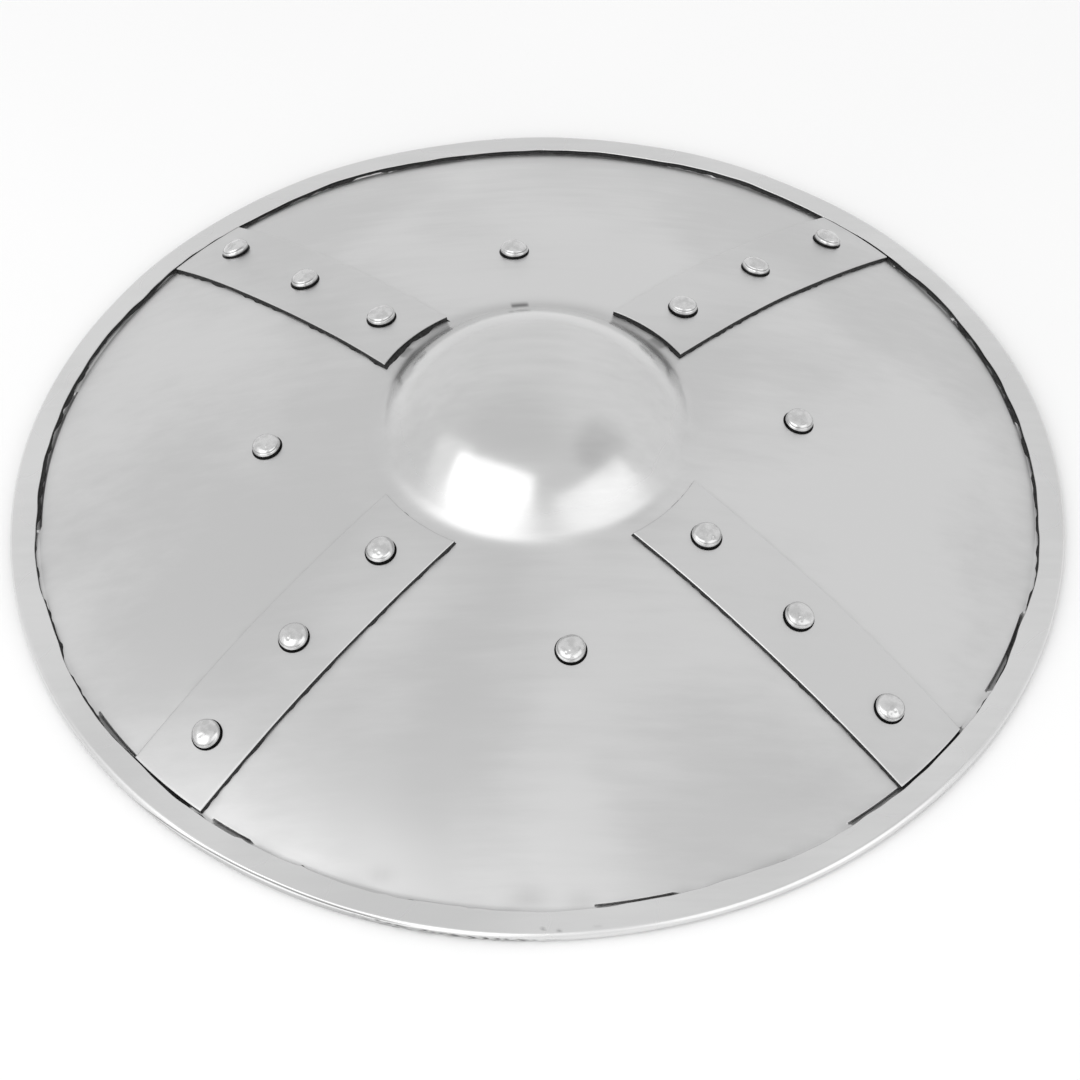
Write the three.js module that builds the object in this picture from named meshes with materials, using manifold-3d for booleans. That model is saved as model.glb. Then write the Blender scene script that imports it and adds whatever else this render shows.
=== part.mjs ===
// Buckler shield of sheet steel, lying face up on its rim.
// Millimetres and degrees. +Z points up, out of the shield's face.
// The origin is the centre of the flat ring that the rim rests on.

import * as THREE from "three";
import { mergeVertices } from "three/addons/utils/BufferGeometryUtils.js";
import Module from "manifold-3d";

// Sheet metal
const sheet = 1.2; // steel of the plate, the cross straps and the rim binding
const gap = 0.3; // clearance between neighbouring pieces

// Rim binding
const outerRadius = 178; // the whole shield is 356 across
const rimInnerRadius = 169.2; // inner edge of both flanges
const restFlat = 0.15; // depth of the flat ring worn into the bend's lowest point

// Plate: a ball-shaped dish with an almost flat brim, and a steeper ball-shaped boss in the
// middle that a rounded hollow blends into the dish. Each radius is of the front face.
const brimRadius = 1650;
const brimInnerRadius = 168; // where the dish folds into the brim
const dishRadius = 388;
const bossRadius = 62;
const bossTop = 66.4; // height of the boss above the ground
const hollowRadius = 11; // of the hollow round the boss's foot

// Cross straps
const strapWidth = 30.2;
const strapInnerRadius = 57.3;
const strapOuterRadius = 168;
const strapMiddle = 112; // distance out at which the bearing is measured
// skew turns a strap away from a true radius. Each rivet was set by hand: its distance along
// the strap, then how far it is to the left of the strap's centre line, seen from the boss.
const crossStraps = [
  { name: "upper_right", bearing: 45.95, skew: -0.8, rivets: [[74, 0.6], [113.1, 1.7], [152.7, 1.7]] },
  { name: "upper_left", bearing: 135.35, skew: -1.2, rivets: [[73.1, -0.7], [112.6, -0.3], [152.4, -1.7]] },
  { name: "lower_left", bearing: 226.15, skew: -1.1, rivets: [[72.5, -0.5], [111, -0.3], [149.4, -0.3]] },
  { name: "lower_right", bearing: 317.15, skew: -0.2, rivets: [[72.4, 1], [110.8, 1.4], [148.9, 0.7]] },
];

// Rivets
const headRadius = 4.85;
const headHeight = 3.6;
const headSkirt = 1.2; // upright edge of the head
const shankRadius = 2.2;
const holeRadius = 2.8;
const tailHeight = 1.2;
const strapTailRadius = 3.6;
const gripTailRadius = 4.4;
const gripRivets = {
  top: { bearing: 94.4, radius: 87.9 },
  right: { bearing: 3.1, radius: 87.6 },
  bottom: { bearing: 276.3, radius: 90.4 },
  left: { bearing: 182, radius: 89.3 },
};

// Leather grip straps, each held by two of the grip rivets
const leather = 3;
const gripWidth = 28;
const gripClearance = 0.7; // room for the dish's curve across the flat band
const gripTab = 11; // strap that goes on past each rivet
const gripLanding = 10; // flat strap on the loop's side of each rivet
const gripDrop = 25; // how far the loop's middle stands off the plate
const gripStraps = [
  { name: "upper_right", from: "top", to: "right" },
  { name: "lower_left", from: "left", to: "bottom" },
];

// Facets
const turnFacets = 56; // round the shield
const rivetFacets = 8;
const holeFacets = 8;
const frontSteps = { boss: 5, hollow: 3, dish: 6 }; // along the stretches of the plate's front
const backSteps = { boss: 4, hollow: 3, dish: 5 };
const strapSteps = 5;
const gripSteps = 16;

// Positions that follow from the dimensions. Sections are drawn as (distance out, height).
const radians = THREE.MathUtils.degToRad;
const bendRadius = sheet * 1.5 + gap;
const bendCentre = new THREE.Vector2(outerRadius - bendRadius, bendRadius - restFlat);
const brimCentre = centreUnder(bendCentre, brimRadius - sheet / 2);
const brimFold = pointOnBall(brimCentre, brimRadius, brimInnerRadius);
const dishCentre = centreUnder(brimFold, dishRadius);
const bossCentre = new THREE.Vector2(0, bossTop - bossRadius);
const hollowCentre = crossing(bossCentre, bossRadius + hollowRadius, dishCentre, dishRadius + hollowRadius);
const edgeAngle = bendCentre.clone().sub(brimCentre).angle();

const steel = { color: 0xc8c8c8, roughness: 0.36, metalness: 1 };
const polishedSteel = { color: 0xdadada, roughness: 0.2, metalness: 1 };
const brownLeather = { color: 0x4a2c1a, roughness: 0.75, metalness: 0 };

const wasm = await Module();
wasm.setup();

// Point at a distance out on a ball whose centre is on the shield's axis
function pointOnBall(centre, ballRadius, distance) {
  return new THREE.Vector2(distance, centre.y + Math.sqrt(ballRadius ** 2 - distance ** 2));
}

// Centre, on the shield's axis, of the ball that passes through a point
function centreUnder(point, ballRadius) {
  return new THREE.Vector2(0, point.y - Math.sqrt(ballRadius ** 2 - point.x ** 2));
}

// Angle, seen from a ball's centre, of the point at a distance out
function angleOnBall(ballRadius, distance) {
  return Math.acos(distance / ballRadius);
}

// Point where two circles cross, on the left of the way from the first centre to the second
function crossing(first, firstRadius, second, secondRadius) {
  const apart = first.distanceTo(second);
  const along = (firstRadius ** 2 - secondRadius ** 2 + apart ** 2) / (2 * apart);
  const aside = Math.sqrt(firstRadius ** 2 - along ** 2);
  const way = second.clone().sub(first).divideScalar(apart);
  const left = new THREE.Vector2(-way.y, way.x);
  return first.clone().addScaledVector(way, along).addScaledVector(left, aside);
}

// Points along an arc, both ends included
function arc(centre, radius, from, to, steps) {
  const points = [];
  for (let i = 0; i <= steps; i += 1) {
    const angle = from + ((to - from) * i) / steps;
    const point = new THREE.Vector2(Math.cos(angle), Math.sin(angle));
    points.push(point.multiplyScalar(radius).add(centre));
  }
  return points;
}

// Direction of a bearing in the ground plane
function heading(bearing) {
  return new THREE.Vector2(Math.cos(radians(bearing)), Math.sin(radians(bearing)));
}

// Solid of a closed geometry, for cutting
function solidOf(geometry) {
  geometry.deleteAttribute("normal");
  geometry.deleteAttribute("uv");
  const merged = mergeVertices(geometry);
  const corners = merged.index.array;
  const kept = [];
  for (let i = 0; i < corners.length; i += 3) {
    const [a, b, c] = corners.slice(i, i + 3);
    if (a !== b && b !== c && c !== a) kept.push(a, b, c);
  }
  const vertProperties = merged.attributes.position.array;
  const triVerts = new Uint32Array(kept);
  return new wasm.Manifold(new wasm.Mesh({ numProp: 3, vertProperties, triVerts }));
}

// Geometry of a finished solid
function geometryOf(solid) {
  const mesh = solid.getMesh();
  const geometry = new THREE.BufferGeometry();
  geometry.setAttribute("position", new THREE.BufferAttribute(mesh.vertProperties, 3));
  geometry.setIndex(new THREE.BufferAttribute(mesh.triVerts, 1));
  geometry.computeVertexNormals();
  return geometry;
}

// Solid turned about +Z from a section that is listed clockwise
function turned(section, facets) {
  const upward = section.slice().reverse();
  const geometry = new THREE.LatheGeometry(upward, facets);
  geometry.rotateX(Math.PI / 2);
  return solidOf(geometry);
}

function addPiece(name, geometry, finish) {
  const mesh = new THREE.Mesh(geometry, new THREE.MeshStandardMaterial(finish));
  mesh.name = name;
  shield.add(mesh);
  return mesh;
}

// Place on the dish's front face, with its outward direction
function seatAt(point) {
  const height = pointOnBall(dishCentre, dishRadius, point.length()).y;
  const position = new THREE.Vector3(point.x, point.y, height);
  const centre = new THREE.Vector3(0, 0, dishCentre.y);
  const outward = position.clone().sub(centre).normalize();
  const up = new THREE.Vector3(0, 0, 1);
  const turn = new THREE.Quaternion().setFromUnitVectors(up, outward);
  return { position, turn, outward };
}

// Hole through every sheet at a rivet's seat
function drill(seat) {
  const length = 40;
  const geometry = new THREE.CylinderGeometry(holeRadius, holeRadius, length, holeFacets);
  geometry.rotateX(Math.PI / 2);
  geometry.applyQuaternion(seat.turn);
  geometry.translate(seat.position.x, seat.position.y, seat.position.z);
  return solidOf(geometry);
}

function drilled(solid, seats) {
  return seats.reduce((rest, seat) => rest.subtract(drill(seat)), solid);
}

// One face of the plate, from the boss's top out to the edge, set back into the metal
function plateFace(setBack, steps) {
  const bossFoot = hollowCentre.clone().sub(bossCentre).angle();
  const dishStart = hollowCentre.clone().sub(dishCentre).angle();
  const boss = arc(bossCentre, bossRadius - setBack, Math.PI / 2, bossFoot, steps.boss);
  boss[0].x = 0;
  const hollow = arc(
    hollowCentre,
    hollowRadius + setBack,
    bossFoot + Math.PI,
    dishStart + Math.PI,
    steps.hollow,
  );
  const fold = crossing(dishCentre, dishRadius - setBack, brimCentre, brimRadius - setBack);
  const dishEnd = fold.clone().sub(dishCentre).angle();
  const dish = arc(dishCentre, dishRadius - setBack, dishStart, dishEnd, steps.dish);
  const brimEnd = bendCentre.clone().sub(brimCentre).setLength(brimRadius - setBack).add(brimCentre);
  return [...boss, ...hollow.slice(1), ...dish.slice(1), brimEnd];
}

function makePlate(seats) {
  const section = [...plateFace(0, frontSteps), ...plateFace(sheet, backSteps).reverse()];
  return geometryOf(drilled(turned(section, turnFacets), seats));
}

// Two straight flanges on a rounded bend, which is worn flat where it meets the ground
function makeRimBinding() {
  const frontTop = brimRadius + gap + sheet;
  const frontUnder = brimRadius + gap;
  const backTop = brimRadius - sheet - gap;
  const backUnder = backTop - sheet;
  const restHalfAngle = Math.acos((bendRadius - restFlat) / bendRadius);
  const bend = arc(bendCentre, bendRadius, edgeAngle, -Math.PI / 2 + restHalfAngle, 6);
  const fold = arc(bendCentre, bendRadius - sheet, edgeAngle - Math.PI, edgeAngle, 3);
  const section = [
    pointOnBall(brimCentre, frontTop, rimInnerRadius),
    ...bend,
    new THREE.Vector2(Math.sqrt(backUnder ** 2 - brimCentre.y ** 2), 0),
    pointOnBall(brimCentre, backUnder, rimInnerRadius),
    pointOnBall(brimCentre, backTop, rimInnerRadius),
    ...fold,
    pointOnBall(brimCentre, frontUnder, rimInnerRadius),
    pointOnBall(brimCentre, frontTop, rimInnerRadius),
  ];
  return geometryOf(turned(section, turnFacets));
}

// Point on a cross strap at a distance out, and aside to the left of its centre line
function strapPoint(strap, distance, aside) {
  const middle = heading(strap.bearing).multiplyScalar(strapMiddle);
  const course = strap.bearing + strap.skew;
  middle.addScaledVector(heading(course), distance - strapMiddle);
  return middle.addScaledVector(heading(course + 90), aside);
}

function makeCrossStrap(strap, seats) {
  const under = dishRadius + gap;
  const over = under + sheet;
  const top = arc(
    dishCentre,
    over,
    angleOnBall(over, strapInnerRadius),
    angleOnBall(over, strapOuterRadius),
    strapSteps,
  );
  const bottom = arc(
    dishCentre,
    under,
    angleOnBall(under, strapOuterRadius),
    angleOnBall(under, strapInnerRadius),
    strapSteps,
  );
  const ring = turned([...top, ...bottom, top[0].clone()], turnFacets);
  const middle = strapPoint(strap, strapMiddle, 0);
  const blank = new THREE.BoxGeometry(outerRadius, strapWidth, outerRadius);
  blank.rotateZ(radians(strap.bearing + strap.skew));
  blank.translate(middle.x, middle.y, 0);
  return geometryOf(drilled(ring.intersect(solidOf(blank)), seats));
}

// Domed head, shank and hammered tail, with the dish's front face at height 0
function makeRivet(headSeat, tailSeat, tailRadius) {
  const domeRise = headHeight - headSkirt;
  const domeRadius = (headRadius ** 2 + domeRise ** 2) / (2 * domeRise);
  const domeCentre = new THREE.Vector2(0, headSeat + headHeight - domeRadius);
  const domeEdge = Math.acos(headRadius / domeRadius);
  const dome = arc(domeCentre, domeRadius, Math.PI / 2, domeEdge, 3);
  dome[0].x = 0;
  const tailEnd = tailSeat - tailHeight;
  const section = [
    ...dome,
    new THREE.Vector2(headRadius, headSeat),
    new THREE.Vector2(shankRadius, headSeat),
    new THREE.Vector2(shankRadius, tailSeat),
    new THREE.Vector2(tailRadius, tailSeat),
    new THREE.Vector2(tailRadius * 0.6, tailEnd),
    new THREE.Vector2(0, tailEnd),
  ];
  return geometryOf(turned(section, rivetFacets));
}

function addRivet(name, seat, geometry) {
  const rivet = addPiece(name, geometry, polishedSteel);
  rivet.position.copy(seat.position);
  rivet.quaternion.copy(seat.turn);
}

// Leather band that lies on the plate's back at both rivets and loops away between them.
// It is drawn in the upright plane through both rivets and the dish's centre.
function makeGripStrap(span, drills) {
  const seatBall = dishRadius - sheet - gripClearance - leather / 2;
  const rivetAngle = span / 2;
  const loopHalf = rivetAngle - gripLanding / dishRadius;
  const endAngle = rivetAngle + gripTab / dishRadius;
  const middleLine = [];
  for (let i = 0; i <= gripSteps; i += 1) {
    const angle = -endAngle + (2 * endAngle * i) / gripSteps;
    const share = Math.min(Math.abs(angle) / loopHalf, 1);
    const drop = (gripDrop / 2) * (1 + Math.cos(Math.PI * share));
    const point = new THREE.Vector2(Math.sin(angle), Math.cos(angle));
    middleLine.push(point.multiplyScalar(seatBall - drop));
  }
  const outline = [...sideLine(middleLine, leather / 2), ...sideLine(middleLine, -leather / 2).reverse()];
  const band = new THREE.ExtrudeGeometry(new THREE.Shape(outline), {
    depth: gripWidth,
    bevelEnabled: false,
  });
  band.translate(0, 0, -gripWidth / 2);
  return geometryOf(drills.reduce((rest, hole) => rest.subtract(hole), solidOf(band)));
}

// Line at a distance beside a line of points, on the right of its way when negative
function sideLine(points, distance) {
  return points.map((point, i) => {
    const before = points[Math.max(i - 1, 0)];
    const after = points[Math.min(i + 1, points.length - 1)];
    const way = after.clone().sub(before).normalize();
    return point.clone().addScaledVector(new THREE.Vector2(-way.y, way.x), distance);
  });
}

function addGripStrap(strap) {
  const centre = new THREE.Vector3(0, 0, dishCentre.y);
  const start = gripSeats[strap.from].outward;
  const end = gripSeats[strap.to].outward;
  const across = end.clone().sub(start).normalize();
  const outward = end.clone().add(start).normalize();
  const side = new THREE.Vector3().crossVectors(across, outward);
  const frame = new THREE.Matrix4().makeBasis(across, outward, side).setPosition(centre);
  const span = start.angleTo(end);
  const drills = [-span / 2, span / 2].map((angle) => {
    const geometry = new THREE.CylinderGeometry(holeRadius, holeRadius, 4 * leather, holeFacets);
    geometry.translate(0, dishRadius - sheet, 0);
    geometry.rotateZ(angle);
    return solidOf(geometry);
  });
  const band = addPiece(`grip_strap_${strap.name}`, makeGripStrap(span, drills), brownLeather);
  band.applyMatrix4(frame);
}

const shield = new THREE.Group();

const strapSeats = crossStraps.map((strap) =>
  strap.rivets.map(([distance, aside]) => seatAt(strapPoint(strap, distance, aside))),
);
const gripSeats = {};
for (const [name, place] of Object.entries(gripRivets)) {
  gripSeats[name] = seatAt(heading(place.bearing).multiplyScalar(place.radius));
}

addPiece("plate", makePlate([...strapSeats.flat(), ...Object.values(gripSeats)]), steel);
addPiece("rim_binding", makeRimBinding(), steel);

const strapRivet = makeRivet(gap + sheet + gap, -sheet - gap, strapTailRadius);
crossStraps.forEach((strap, i) => {
  addPiece(`cross_strap_${strap.name}`, makeCrossStrap(strap, strapSeats[i]), steel);
  ["inner", "middle", "outer"].forEach((place, j) => {
    addRivet(`strap_rivet_${strap.name}_${place}`, strapSeats[i][j], strapRivet);
  });
});

const gripRivet = makeRivet(gap, -sheet - gripClearance - leather - gap, gripTailRadius);
for (const [name, seat] of Object.entries(gripSeats)) {
  addRivet(`grip_rivet_${name}`, seat, gripRivet);
}
gripStraps.forEach(addGripStrap);

export default shield;
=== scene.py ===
import math

import bmesh
import bpy
import numpy as np
from mathutils import Matrix, Vector


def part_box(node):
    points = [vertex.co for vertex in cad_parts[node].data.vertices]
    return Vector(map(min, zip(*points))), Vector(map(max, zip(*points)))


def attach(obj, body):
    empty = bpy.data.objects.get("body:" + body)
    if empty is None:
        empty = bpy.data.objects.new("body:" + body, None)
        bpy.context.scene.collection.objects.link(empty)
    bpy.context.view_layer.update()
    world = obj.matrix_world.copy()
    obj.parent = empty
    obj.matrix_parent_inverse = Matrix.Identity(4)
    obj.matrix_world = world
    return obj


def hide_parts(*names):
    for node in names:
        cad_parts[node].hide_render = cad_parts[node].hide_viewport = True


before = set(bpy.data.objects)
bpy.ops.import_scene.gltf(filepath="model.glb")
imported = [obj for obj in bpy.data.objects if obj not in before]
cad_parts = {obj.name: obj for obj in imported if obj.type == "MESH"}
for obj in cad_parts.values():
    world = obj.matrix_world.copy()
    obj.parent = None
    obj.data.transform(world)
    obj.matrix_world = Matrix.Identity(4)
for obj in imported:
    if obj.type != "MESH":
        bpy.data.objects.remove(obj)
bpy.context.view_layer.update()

# Shapes are worked out in millimetres and become metres when a mesh is made.
MM = 0.001

# Sizes of the solids that the pieces follow
SHEET = 1.2  # steel of the plate, the cross straps and the rim binding
LIFT = 1.5  # outer face of the straps and the binding above the plate's face
DISH_RADIUS = 388.0
BRIM_RADIUS = 1650.0  # ball of the almost flat brim that the binding grips
BRIM_INNER_RADIUS = 168.0  # where the dish folds into the brim
BOSS_RADIUS = 62.0
HOLLOW_RADIUS = 11.0  # of the hollow that blends the boss into the dish
RIM_INNER_RADIUS = 169.2
RIM_BEND_RADIUS = 2.1
REST_FLAT = 0.15
STRAP_WIDTH = 30.2
STRAP_INNER_RADIUS = 57.3
STRAP_OUTER_RADIUS = 168.0
STRAP_MIDDLE = 112.0  # distance out at which a strap's bearing is measured
HEAD_RADIUS = 4.75
HEAD_HEIGHT = 3.6
SHANK_RADIUS = 2.3
TAIL_HEIGHT = 1.2
STRAP_TAIL_RADIUS = 3.6
GRIP_TAIL_RADIUS = 4.4
LEATHER = 3.0
GRIP_WIDTH = 28.0
GRIP_TAB = 11.0
GRIP_LANDING = 10.0
GRIP_DROP = 25.0
GRIP_SEAT = 0.5  # space between the plate's back and a grip's leather

# Bearing of each cross strap in degrees, its turn away from a true radius, and its inner, middle
# and outer rivets: the distance along the strap and how far left of its centre line each one is
STRAPS = {
    "upper_right": (45.95, -0.8, ((74.0, 0.6), (113.1, 1.7), (152.7, 1.7))),
    "upper_left": (135.35, -1.2, ((73.1, -0.7), (112.6, -0.3), (152.4, -1.7))),
    "lower_left": (226.15, -1.1, ((72.5, -0.5), (111.0, -0.3), (149.4, -0.3))),
    "lower_right": (317.15, -0.2, ((72.4, 1.0), (110.8, 1.4), (148.9, 0.7))),
}
RIVET_PLACES = ("inner", "middle", "outer")

# Bearing in degrees and distance out of the rivets that hold the grips
GRIP_RIVETS = {"top": (94.4, 87.9), "right": (3.1, 87.6), "bottom": (276.3, 90.4), "left": (182.0, 89.3)}
GRIPS = {"upper_right": ("top", "right"), "lower_left": ("left", "bottom")}

# Places that follow from the frame and the sizes. Sections are (distance out, height).
OUTER_RADIUS = round(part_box("rim_binding")[1][0] / MM)
BOSS_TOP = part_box("plate")[1][2] / MM
BEND = np.array([OUTER_RADIUS - RIM_BEND_RADIUS, RIM_BEND_RADIUS - REST_FLAT])
BOSS_CENTRE = np.array([0.0, BOSS_TOP - BOSS_RADIUS])


def centre_under(point, ball):
    """Centre, on the shield's axis, of the ball that passes through a point of the section."""
    return np.array([0.0, point[1] - math.sqrt(ball**2 - point[0] ** 2)])


def on_ball(centre, ball, distance):
    """Point of the section at a distance out on a ball."""
    return np.array([distance, centre[1] + math.sqrt(ball**2 - distance**2)])


def crossing(first, first_radius, second, second_radius):
    """Where two circles cross, on the left of the way from the first centre to the second."""
    apart = np.linalg.norm(second - first)
    along = (first_radius**2 - second_radius**2 + apart**2) / (2 * apart)
    aside = math.sqrt(first_radius**2 - along**2)
    way = (second - first) / apart
    return first + way * along + np.array([-way[1], way[0]]) * aside


def angle_of(vector):
    """Angle of a direction in the section, in radians from straight out."""
    return math.atan2(vector[1], vector[0])


def dish_height(distance):
    """Height of the dish's ball at a distance out from the shield's axis."""
    return DISH_CENTRE[1] + np.sqrt(DISH_RADIUS**2 - np.square(distance))


BRIM_CENTRE = centre_under(BEND, BRIM_RADIUS - SHEET / 2)
DISH_CENTRE = centre_under(on_ball(BRIM_CENTRE, BRIM_RADIUS, BRIM_INNER_RADIUS), DISH_RADIUS)
EDGE_ANGLE = angle_of(BEND - BRIM_CENTRE)
HOLLOW_CENTRE = crossing(BOSS_CENTRE, BOSS_RADIUS + HOLLOW_RADIUS, DISH_CENTRE, DISH_RADIUS + HOLLOW_RADIUS)


# Small tools


def ripples(points, wavelength, seed, count=24):
    """Smooth seeded field of about unit height over (n, 3) points."""
    draw = np.random.default_rng(seed)
    directions = draw.normal(size=(count, 3))
    directions /= np.linalg.norm(directions, axis=1)[:, None]
    lengths = wavelength * draw.uniform(0.7, 1.5, count)
    phases = draw.uniform(0, 2 * math.pi, count)
    field = np.cos(2 * math.pi * (points @ directions.T) / lengths + phases).sum(axis=1)
    return field * math.sqrt(2 / count)


def bump(distance, width):
    """1 at no distance, falling smoothly to 0."""
    return np.exp(-np.square(np.asarray(distance) / width))


def smooth_step(value, low, high):
    """0 up to a low value and 1 from a high one, with a soft climb between."""
    share = np.clip((np.asarray(value) - low) / (high - low), 0, 1)
    return share * share * (3 - 2 * share)


def turn_between(bearing, start, end, soft):
    """1 between two bearings in degrees, with soft ends. end may pass 360."""
    middle = (start + end) / 2
    away = np.abs((bearing - middle + 180) % 360 - 180)
    return 1 - smooth_step(away, (end - start) / 2 - soft, (end - start) / 2 + soft)


def unevenness(x, y):
    """How far the hand-raised plate stands off its true ball at a plan position."""
    plan = np.stack([x, y, np.zeros_like(x)], axis=-1).reshape(-1, 3)
    field = 0.16 * ripples(plan, 75, 1) + 0.05 * ripples(plan, 30, 2)
    return field.reshape(np.shape(x))


def on_dish(x, y, lift):
    """Points above the plan positions' places on the dish's face, along its outward direction."""
    height = dish_height(np.hypot(x, y))
    face = np.stack([x, y, height], axis=-1)
    outward = (face - np.array([0, 0, DISH_CENTRE[1]])) / DISH_RADIUS
    rise = np.asarray(lift + unevenness(x, y))[..., None]
    return face + outward * rise


def grid_faces(rows, columns, wrap_rows=False, wrap_columns=False):
    """Four-cornered faces over a grid of points, closed on itself each way that wraps."""
    row = np.arange(rows if wrap_rows else rows - 1)
    column = np.arange(columns if wrap_columns else columns - 1)
    row, column = np.meshgrid(row, column, indexing="ij")
    next_row = (row + 1) % rows
    next_column = (column + 1) % columns
    corners = [
        row * columns + column,
        row * columns + next_column,
        next_row * columns + next_column,
        next_row * columns + column,
    ]
    return np.stack(corners, axis=-1).reshape(-1, 4)


def add_piece(name, points, faces, materials, nodes, weld=False, marks=None):
    """Makes one piece of the shield from points in millimetres and stands it in for CAD nodes."""
    mesh = bpy.data.meshes.new(name)
    mesh.from_pydata((np.asarray(points).reshape(-1, 3) * MM).tolist(), [], np.asarray(faces).tolist())
    for key, values in (marks or {}).items():
        layer = mesh.attributes.new(key, "FLOAT", "POINT")
        layer.data.foreach_set("value", np.asarray(values, dtype=np.float32).ravel())
    for material in materials:
        mesh.materials.append(material)
    shape = bmesh.new()
    shape.from_mesh(mesh)
    if weld:
        bmesh.ops.remove_doubles(shape, verts=shape.verts, dist=0.002 * MM)
    bmesh.ops.recalc_face_normals(shape, faces=shape.faces)
    shape.to_mesh(mesh)
    shape.free()
    mesh.shade_smooth()
    piece = bpy.data.objects.new(name, mesh)
    bpy.context.scene.collection.objects.link(piece)
    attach(piece, "root")
    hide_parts(*nodes)
    return piece


# Materials


class Nodes:
    """A material's node tree, with short calls for the nodes that it uses."""

    def __init__(self, name):
        self.material = bpy.data.materials.new(name)
        self.material.use_nodes = True
        self.tree = self.material.node_tree
        self.shader = self.tree.nodes["Principled BSDF"]
        self.place = self.add("ShaderNodeTexCoord").outputs["Object"]

    def add(self, kind, **settings):
        node = self.tree.nodes.new(kind)
        for key, value in settings.items():
            setattr(node, key, value)
        return node

    def link(self, output, target):
        self.tree.links.new(output, target)

    def noise(self, scale, detail=3.0, roughness=0.5, stretch=(1, 1, 1), distortion=0.0):
        """Noise of about scale features a metre, along object axes."""
        mapping = self.add("ShaderNodeMapping")
        mapping.inputs["Scale"].default_value = stretch
        self.link(self.place, mapping.inputs["Vector"])
        noise = self.add("ShaderNodeTexNoise")
        noise.inputs["Scale"].default_value = scale
        noise.inputs["Detail"].default_value = detail
        noise.inputs["Roughness"].default_value = roughness
        noise.inputs["Distortion"].default_value = distortion
        self.link(mapping.outputs["Vector"], noise.inputs["Vector"])
        return noise.outputs["Fac"]

    def span(self, value, from_low, from_high, to_low, to_high):
        node = self.add("ShaderNodeMapRange", interpolation_type="SMOOTHSTEP")
        self.link(value, node.inputs["Value"])
        for key, number in zip(
            ("From Min", "From Max", "To Min", "To Max"), (from_low, from_high, to_low, to_high)
        ):
            node.inputs[key].default_value = number
        return node.outputs["Result"]

    def math(self, operation, first, second):
        node = self.add("ShaderNodeMath", operation=operation)
        for socket, value in zip(node.inputs, (first, second)):
            if isinstance(value, (int, float)):
                socket.default_value = value
            else:
                self.link(value, socket)
        return node.outputs["Value"]

    def blend(self, share, first, second):
        """Colour between two, each a colour or an output."""
        node = self.add("ShaderNodeMix", data_type="RGBA")
        self.link(share, node.inputs["Factor"])
        for key, value in (("A", first), ("B", second)):
            socket = next(s for s in node.inputs if s.name == key and s.type == "RGBA")
            if isinstance(value, tuple):
                socket.default_value = (*value, 1)
            else:
                self.link(value, socket)
        return next(s for s in node.outputs if s.type == "RGBA")

    def attribute(self, name):
        return self.add("ShaderNodeAttribute", attribute_name=name).outputs["Fac"]

    def bump(self, height, distance, strength=1.0, under=None):
        node = self.add("ShaderNodeBump")
        node.inputs["Distance"].default_value = distance
        node.inputs["Strength"].default_value = strength
        self.link(height, node.inputs["Height"])
        if under is not None:
            self.link(under, node.inputs["Normal"])
        return node.outputs["Normal"]

    def finish(self, colour, roughness, normal=None, metallic=0.0):
        shader = self.shader
        shader.inputs["Metallic"].default_value = metallic
        self.link(colour, shader.inputs["Base Color"])
        self.link(roughness, shader.inputs["Roughness"])
        if normal is not None:
            self.link(normal, shader.inputs["Normal"])
        return self.material


def grey(value):
    return (value, value, value)


def satin_steel(name, dark, light, rough, marked=False):
    """Hand-polished sheet steel: soft clouds, faint sideways brushing and fine scratches."""
    nodes = Nodes(name)
    clouds = nodes.noise(13, detail=2, roughness=0.4, distortion=0.3)
    streaks = nodes.noise(1, detail=4, roughness=0.6, stretch=(30, 240, 240))
    tone = nodes.math("ADD", nodes.math("MULTIPLY", clouds, 0.8), nodes.math("MULTIPLY", streaks, 0.2))
    colour = nodes.blend(nodes.span(tone, 0.36, 0.64, 0, 1), grey(dark), grey(light))
    # a marked piece goes near black where its stain_and_shade mark holds dirt or painted shade
    if marked:
        colour = nodes.blend(nodes.attribute("stain_and_shade"), colour, grey(0.035))
    haze = nodes.noise(22, detail=2, roughness=0.5)
    roughness = nodes.span(haze, 0.3, 0.7, rough - 0.04, rough + 0.04)
    if marked:
        polish = nodes.math("MULTIPLY", nodes.attribute("polish"), 0.16)
        roughness = nodes.math("SUBTRACT", roughness, polish)
    brushing = nodes.noise(1, detail=3, roughness=0.7, stretch=(200, 3800, 3800))
    normal = nodes.bump(brushing, 0.00002, 0.3)
    return nodes.finish(colour, roughness, normal, metallic=1.0)


def rivet_steel():
    """Polished steel with faint mottling, darkened with dirt and painted shade where the stain_and_shade
    mark says so.
    """
    nodes = Nodes("polished_rivet_steel")
    mottle = nodes.noise(380, detail=2, roughness=0.5)
    colour = nodes.blend(nodes.span(mottle, 0.35, 0.65, 0, 1), grey(0.60), grey(0.72))
    colour = nodes.blend(nodes.attribute("stain_and_shade"), colour, grey(0.012))
    rough = nodes.span(nodes.noise(300, detail=2), 0.3, 0.7, 0.16, 0.28)
    normal = nodes.bump(nodes.noise(900, detail=2, roughness=0.5), 0.00005, 0.35)
    return nodes.finish(colour, rough, normal, metallic=1.0)


def cut_edge_and_shade():
    """Dark oxide on the sheared edges of the sheet; it also darkens the strips at the foot of the straps
    and the binding, as dirt and painted shade.
    """
    nodes = Nodes("dark_cut_edge_and_shade")
    speckle = nodes.noise(1500, detail=3, roughness=0.6)
    colour = nodes.blend(nodes.span(speckle, 0.35, 0.7, 0, 1), grey(0.012), grey(0.06))
    rough = nodes.span(speckle, 0.3, 0.7, 0.45, 0.75)
    return nodes.finish(colour, rough, metallic=0.6)


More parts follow.
